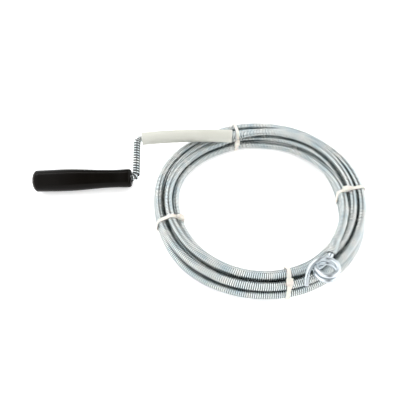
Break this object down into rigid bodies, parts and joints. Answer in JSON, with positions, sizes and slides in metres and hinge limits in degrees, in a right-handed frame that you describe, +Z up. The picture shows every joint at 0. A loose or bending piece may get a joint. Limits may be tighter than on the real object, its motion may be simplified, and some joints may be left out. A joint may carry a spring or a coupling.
{
  "type": "drain auger",
  "caption": "Hand drain auger: a tied coil of steel spring cable with a cranked end, a black turning grip, a clear guide tube and a corkscrew tip.",
  "frame": {"origin": "centre of the coil, on the surface that the coil lies on", "axes": "+Z up; +X along the grip's axis, from the grip towards the coil; +Y away from the near side of the coil"},
  "size_m": [0.3732, 0.2374, 0.0426],
  "materials": {
    "grip_plastic": "black moulded plastic with a soft gloss",
    "plain_steel": "bare drawn steel",
    "spring_steel": "bright zinc-plated spring wire",
    "hook_steel": "bright zinc-plated rod",
    "guide_plastic": "milky translucent polyethylene",
    "tie_nylon": "natural nylon"
  },
  "bodies": {
    "cable": {"crank_cable": "spring_steel", "crank_core": "plain_steel", "end_ferrule": "plain_steel", "cable_lead": "spring_steel", "cable_coil": "spring_steel", "cable_tail": "spring_steel", "corkscrew": "hook_steel", "tie_top": "tie_nylon", "tie_right": "tie_nylon", "tie_bottom": "tie_nylon", "tie_left": "tie_nylon"},
    "grip": {"grip_shell": "grip_plastic", "grip_end_cap": "grip_plastic", "grip_washer": "plain_steel"},
    "guide": {"guide_tube": "guide_plastic"}
  },
  "joints": [
    {"name": "grip_spin", "type": "hinge", "parent": "cable", "child": "grip", "pos_m": [-0.142, 0.0353, 0.01315], "axis": [1, 0, 0], "continuous": true},
    {"name": "guide_spin", "type": "hinge", "parent": "cable", "child": "guide", "pos_m": [-0.076, 0.0878, 0.02619], "axis": [1, 0, 0], "continuous": true}
  ]
}
